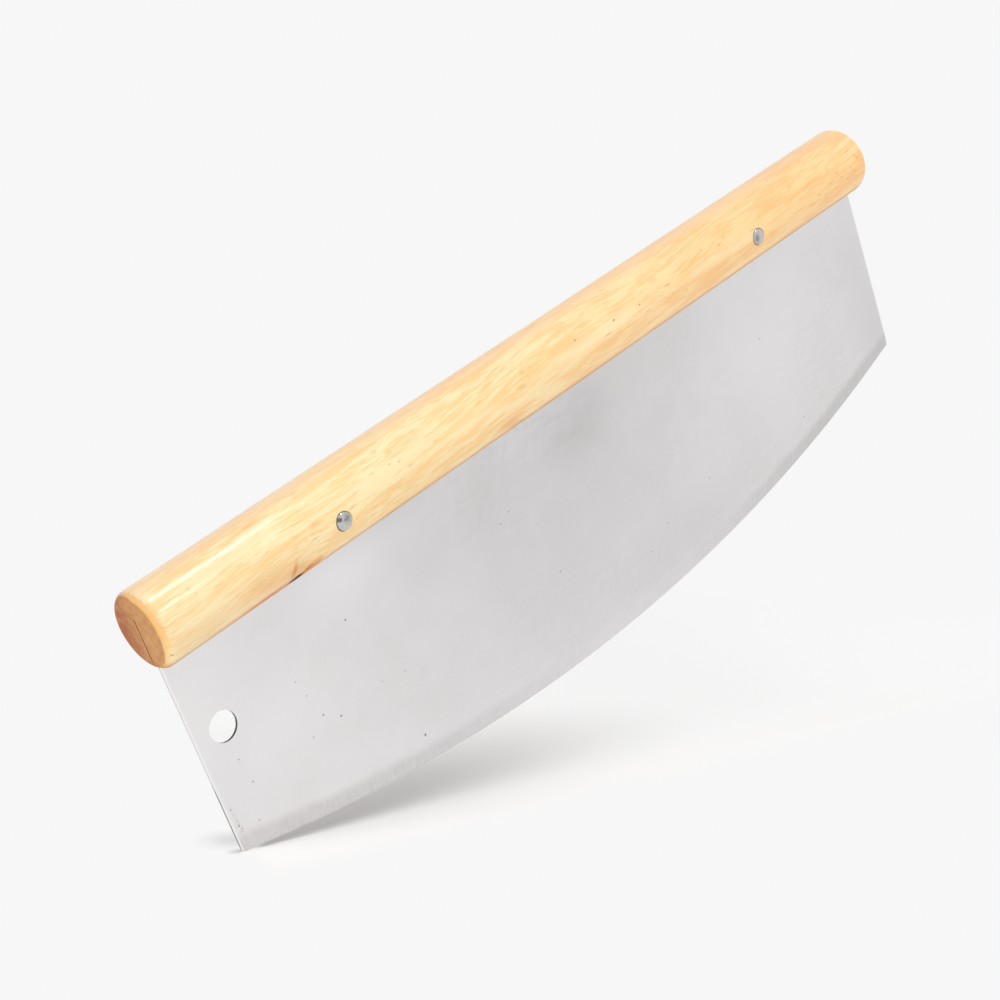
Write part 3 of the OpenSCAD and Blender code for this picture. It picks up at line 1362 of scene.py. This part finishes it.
@dataclass
class RivetHalf:
    """One half of a compression rivet: a domed head with a pin, or with a tube."""

    side: Side
    part: RivetPart
    place: Vector
    face_y: float
    head_radius: float = 2.95 * MM
    head_thickness: float = 1.6 * MM
    rim_radius: float = 0.5 * MM
    dome: float = 0.15 * MM
    pin_radius: float = 1.3 * MM
    pin_end_y: float = 9.6 * MM
    tube_radius: float = 2.0 * MM
    tube_bore: float = 1.32 * MM
    tube_end_y: float = 11.3 * MM
    bore_floor: float = 1.5 * MM
    dimple_radius: float = 0.42 * MM
    dimple_depth: float = 0.14 * MM

    def build(self, metal: bpy.types.Material) -> list[bpy.types.Object]:
        """Press the head and draw out its shank.

        Args:
            metal: Its finish.

        Returns:
            The half alone.
        """
        words = (self.side.name.lower(), self.part.name.lower())
        out = self.part.value
        middle = self.place + Vector((0, out * (self.face_y - self.head_thickness / 2), 0))
        name = "rivet_%s_%s" % words
        half = Bench.rod(name, self.head_radius, self.head_thickness, Axis.Y, middle, sides=64)
        with Bench.editing(half):
            self.press_head(half, out)
            self.draw_shank(half, out)
        Bench.complete(half, smooth_below=40, finish=metal)
        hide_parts("rivet_%s_%s" % words[::-1])
        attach(half, "root")
        return [half]

    def press_head(self, half: bpy.types.Object, out: int) -> None:
        """Round the head's rim, raise its dome and, on the stud, press the small dimple.

        Args:
            half: The half in edit mode.
            out: -1 where the head faces -Y, 1 where it faces +Y.
        """
        face = out * self.face_y

        def on_rim(first: Vector, second: Vector) -> bool:
            """Tell whether an edge lies round the outer face."""
            return abs(first.y - face) < TOUCH and abs(second.y - face) < TOUCH

        Bench.pick(half, Domain.EDGES, on_rim)
        bpy.ops.mesh.bevel(offset=self.rim_radius, segments=6, profile=0.5, affect="EDGES")
        Bench.pick(half, Domain.FACES, lambda middle, normal: out * normal.y > 0.999)
        flat = self.head_radius - self.rim_radius
        rings = 5
        for step in range(1, rings + 1):
            before = flat * (1 - (step - 1) / rings)
            after = flat * (1 - step / rings) if step < rings else self.dimple_radius
            rise = self.dome * ((before / flat) ** 2 - (after / flat) ** 2)
            bpy.ops.mesh.inset(thickness=before - after)
            bpy.ops.transform.translate(value=(0, out * rise, 0))
        if self.part is RivetPart.STUD:
            bpy.ops.mesh.inset(thickness=0.35 * self.dimple_radius)
            bpy.ops.transform.translate(value=(0, -out * self.dimple_depth, 0))

    def draw_shank(self, half: bpy.types.Object, out: int) -> None:
        """Draw the pin or the tube out of the underside of the head.

        Args:
            half: The half in edit mode.
            out: -1 where the head faces -Y, 1 where it faces +Y.
        """
        seat = out * (self.face_y - self.head_thickness)

        def is_underside(middle: Vector, normal: Vector) -> bool:
            """Tell whether a face is the head's underside."""
            return abs(middle.y - seat) < TOUCH and out * normal.y < -0.9

        Bench.pick(half, Domain.FACES, is_underside)
        if self.part is RivetPart.STUD:
            bpy.ops.mesh.inset(thickness=self.head_radius - self.pin_radius)
            Bench.draw_out(Vector((0, -out * self.pin_end_y - seat, 0)))
            return
        bpy.ops.mesh.inset(thickness=self.head_radius - self.tube_radius)
        end = -out * self.tube_end_y
        Bench.draw_out(Vector((0, end - seat, 0)))
        bpy.ops.mesh.inset(thickness=self.tube_radius - self.tube_bore)
        Bench.draw_out(Vector((0, seat - out * self.bore_floor - end, 0)))


class Lamp(Enum):
    """The lamps: where they shine from, their strength, their width in degrees, shadow and gloss."""

    KEY = ((0.873, -0.261, 0.412), 1.95, 33, True, False)
    FRONT = ((-0.45, -0.72, -0.53), 2.25, 100, False, False)
    TOP = ((-0.45, -0.20, 0.87), 1.90, 100, False, False)
    GLOSS = ((0.39, -0.17, 0.905), 0.55, 10, False, True)
    GLINT = ((0.36, -0.695, 0.625), 0.35, 5, False, True)

    def __init__(self, towards: Triple, strength: float, width: float, shades: bool, glosses: bool) -> None:
        """Keep what one lamp is.

        Args:
            towards: The direction from the knife to the lamp.
            strength: Its strength in watts to a square metre.
            width: How wide it looks, in degrees.
            shades: Whether it throws a shadow.
            glosses: Whether it is seen in the gloss of what it lights.
        """
        self.towards = Vector(towards)
        self.strength = strength
        self.width = width
        self.shades = shades
        self.glosses = glosses

    def hang(self) -> None:
        """Hang the lamp in the scene."""
        lamp = bpy.data.lights.new(self.name.lower() + "_lamp", "SUN")
        lamp.energy = self.strength
        lamp.angle = math.radians(self.width)
        lamp.use_shadow = self.shades
        hung = bpy.data.objects.new(lamp.name, lamp)
        hung.rotation_euler = self.towards.to_track_quat("Z", "Y").to_euler()
        hung.location = self.towards
        hung.visible_glossy = self.glosses
        hung.visible_diffuse = not self.glosses
        bpy.context.scene.collection.objects.link(hung)


@dataclass
class Studio:
    """The pale floor that the knife stands on by its left corner, the soft lamps and the backdrop.

    The knife leans in the picture, so in its own upright frame the floor leans instead.
    """

    corner: Vector
    lean_degrees: float = 25.09
    backdrop: Tint = srgb(247, 247, 247)
    mirrored: Tint = srgb(252, 252, 252)
    dim: Tint = srgb(128, 128, 130)
    dim_towards: Triple = (0.598, -0.739, -0.311)
    dim_core: float = 0.05
    dim_reach: float = 0.14
    fill: float = 0.15
    # The floor's paint is darker near the corner and in front, as painted shade against the light that the
    # blade throws there, lighter just behind the knife, as painted light against its soft shadow, and plain
    # further back.
    floor_near: Tint = srgb(240, 240, 240)
    floor_far: Tint = srgb(252, 252, 252)
    floor_beyond: Tint = srgb(246, 246, 246)
    floor_radius: float = 0.5
    floor_shift: float = 0.15
    near_radius: float = 0.21
    blank_rightwards: float = -0.889
    blank_backwards: float = 0.457

    @property
    def lean(self) -> float:
        """The floor's lean in radians."""
        return math.radians(self.lean_degrees)

    @property
    def across(self) -> Vector:
        """The direction along the floor, to the right, in the knife's frame."""
        return Vector((math.cos(self.lean), 0, -math.sin(self.lean)))

    def build(self) -> list[bpy.types.Object]:
        """Lay the floor, hang the lamps and light the room.

        Returns:
            The floor.
        """
        floor = self.lay_floor()
        for lamp in Lamp:
            lamp.hang()
        self.paint_room()
        return [floor]

    def lay_floor(self) -> bpy.types.Object:
        """Lay a round floor that fades into the backdrop and can be seen from above only.

        Returns:
            The floor.
        """
        middle = self.corner + self.across * self.floor_shift
        turn = (0, self.lean, 0)
        floor = Bench.ring("studio_floor", self.floor_radius, turn, middle, sides=96, filled=True)
        floor.data.materials.append(self.floor_paint(middle))
        return floor

    def floor_paint(self, middle: Vector) -> bpy.types.Material:
        """Mix the floor's matt paint, blank towards its border, left of the knife's corner and in front.

        Where it is blank, it shows the backdrop's colour to a camera above it and lets all other light pass.

        Args:
            middle: The floor's middle.

        Returns:
            The material.
        """
        recipe = Recipe("pale_floor")
        above = recipe.rest(recipe.add("NewGeometry", {}).outputs["Backfacing"])
        leftwards = self.across * self.blank_rightwards + Vector((0, self.blank_backwards, 0))
        past = recipe.add("VectorMath", {0: recipe.place, 1: leftwards}, operation="DOT_PRODUCT")
        edge = self.corner.dot(leftwards)
        behind = self.corner + self.across * (6 * MM) + Vector((0, 13 * MM, 0))
        painted = recipe.most(
            recipe.ramp(past.outputs["Value"], edge - 9 * MM, edge - 1 * MM, 1.0, 0.0),
            recipe.times(self.round_spot(recipe, behind, 15 * MM), 0.5),
            recipe.times(self.round_spot(recipe, self.corner, 6 * MM), 0.9),
        )
        seen = recipe.times(
            recipe.spot(middle, (self.floor_radius,) * 3, soft=0.6),
            above,
            painted,
            recipe.ramp(recipe.y, -34 * MM, -6 * MM),
        )
        # Painted shade near the corner and in front, painted light just behind the knife, plain further
        # back.
        away = recipe.rest(self.round_spot(recipe, self.corner, self.near_radius))
        far = recipe.most(recipe.ramp(recipe.y, -12 * MM, 18 * MM), away)
        tone = recipe.blend(far, self.floor_near, self.floor_far)
        tone = recipe.tint(tone, self.floor_beyond, recipe.ramp(recipe.y, 60 * MM, 300 * MM))
        paint = recipe.add("BsdfDiffuse", {"Color": tone}).outputs[0]
        clear = recipe.add("BsdfTransparent", {}).outputs[0]
        blank = recipe.add("Emission", {"Color": self.backdrop}).outputs[0]
        straight = recipe.add("LightPath", {}).outputs["Is Camera Ray"]
        unpainted = recipe.between(recipe.times(straight, above), clear, blank)
        return recipe.coat(recipe.between(seen, unpainted, paint))

    def round_spot(self, recipe: Recipe, centre: Vector, radius: float) -> Socket:
        """Mark a round area of the floor that fades from its centre to its rim.

        Args:
            recipe: The material in the making.
            centre: Its centre.
            radius: Its radius.

        Returns:
            1 at the centre, 0 outside.
        """
        return recipe.spot(centre, (radius, radius, radius), soft=1.0)

    def paint_room(self) -> None:
        """Give the camera a pale backdrop, reflections a pale room with a dull area, and the rest a fill."""
        world = bpy.data.worlds.new("studio_room")
        bpy.context.scene.world = world
        world.use_nodes = True
        room = Tree(world.node_tree)
        ray = room.add("LightPath", {}).outputs
        direction = room.add("TexCoord", {}).outputs["Generated"]
        off = room.add("VectorMath", {0: direction, 1: self.dim_towards}, operation="DISTANCE")
        dimmed = room.ramp(off.outputs["Value"], self.dim_core, self.dim_reach, 1.0, 0.0)
        mirrored, lit, shown = (
            room.add("Background", {"Color": colour, "Strength": strength}).outputs[0]
            for colour, strength in (
                (room.blend(dimmed, self.mirrored, self.dim), 1.0),
                (srgb(255, 255, 255), self.fill),
                (self.backdrop, 1.0),
            )
        )
        by_gloss = room.between(ray["Is Glossy Ray"], lit, mirrored)
        straight = room.most(ray["Is Camera Ray"], ray["Is Transmission Ray"])
        room.add("OutputWorld", {"Surface": room.between(straight, by_gloss, shown)})


@dataclass(frozen=True)
class PhotoCamera:
    """The camera at the photograph's place: close, level with the floor, and tilted in the knife's frame."""

    place: Vector
    forward: Vector
    right: Vector
    lens_mm: float

    def build(self) -> bpy.types.Object:
        """Set up the camera.

        Returns:
            The camera.
        """
        camera = bpy.data.objects.new("photo_camera", bpy.data.cameras.new("photo_camera"))
        camera.data.lens = self.lens_mm
        camera.data.sensor_width = 36.0
        back = -self.forward.normalized()
        up = back.cross(self.right).normalized()
        right = up.cross(back)
        turn = Matrix((right, up, back)).transposed()
        camera.matrix_world = Matrix.Translation(self.place) @ turn.to_4x4()
        bpy.context.scene.collection.objects.link(camera)
        bpy.context.scene.camera = camera
        return camera


def main() -> None:
    """Build the knife, its floor, lamps and camera, and report each piece."""
    logging.basicConfig(level=logging.INFO, format="%(message)s")
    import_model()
    bpy.context.scene.view_settings.view_transform = "Standard"

    grip_low, grip_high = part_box("handle")
    blade_low, blade_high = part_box("blade")
    stud_low, stud_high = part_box("rivet_stud_left")
    radius = (grip_high.y - grip_low.y) / 2
    height = grip_high.z - radius
    half_length = (grip_high.x - grip_low.x) / 2
    half_width = (blade_high.x - blade_low.x) / 2
    edge_rise = 25.6 * MM
    edge_radius = (half_width**2 + edge_rise**2) / (2 * edge_rise)
    rivet_x = -(stud_low.x + stud_high.x) / 2
    rivet_z = (stud_low.z + stud_high.z) / 2
    rivets = tuple(Vector((side.value * rivet_x, 0, rivet_z)) for side in Side)
    rivet_bore = 2.05 * MM
    rivet_face_y = radius + 0.2 * MM
    hole_inset = 11.1 * MM
    hole_below_grip = 40.5 * MM
    blade = Blade(
        half_width=half_width,
        top=blade_high.z,
        edge_radius=edge_radius,
        hang_hole=Vector((-half_width + hole_inset, 0, height - hole_below_grip)),
        hang_hole_radius=5.1 * MM,
        rivet_places=rivets,
        rivet_hole_radius=rivet_bore,
    )
    grip = Grip(
        radius=radius,
        half_length=half_length,
        height=height,
        slot_half_width=0.55 * MM,
        slot_half_length=half_width + 0.05 * MM,
        slot_end_half_width=0.25 * MM,
        slot_top=height + 4.7 * MM,
        rivet_places=rivets,
        bore_radius=rivet_bore,
        seat_radius=3.25 * MM,
        seat_depth_y=rivet_face_y - RivetHalf.head_thickness,
    )
    wood = LacqueredWood(half_length, height, radius, rivets)
    steel = SatinSteel(edge_radius, blade.grind_width, half_width, blade.hang_hole, blade.hang_hole_radius)
    metal = RivetMetal().brew()
    assemblies = [(grip, wood.brew()), (blade, steel.brew())]
    for side, place in zip(Side, rivets):
        for part in RivetPart:
            assemblies.append((RivetHalf(side, part, place, rivet_face_y), metal))
    for assembly, finish in assemblies:
        for piece in assembly.build(finish):
            LOG.info("piece %s: %d faces", piece.name, len(piece.data.polygons))

    corner = Vector((-half_width, 0, edge_rise))
    for stage in Studio(corner).build():
        LOG.info("stage %s", stage.name)
    camera = PhotoCamera(
        place=Vector((-0.40535, -0.48128, 0.31896)),
        forward=Vector((0.56224, 0.73544, -0.37817)),
        right=Vector((0.66969, -0.67321, -0.31355)),
        lens_mm=69.96,
    ).build()
    LOG.info("camera %s", camera.name)


if __name__ == "__main__":
    main()
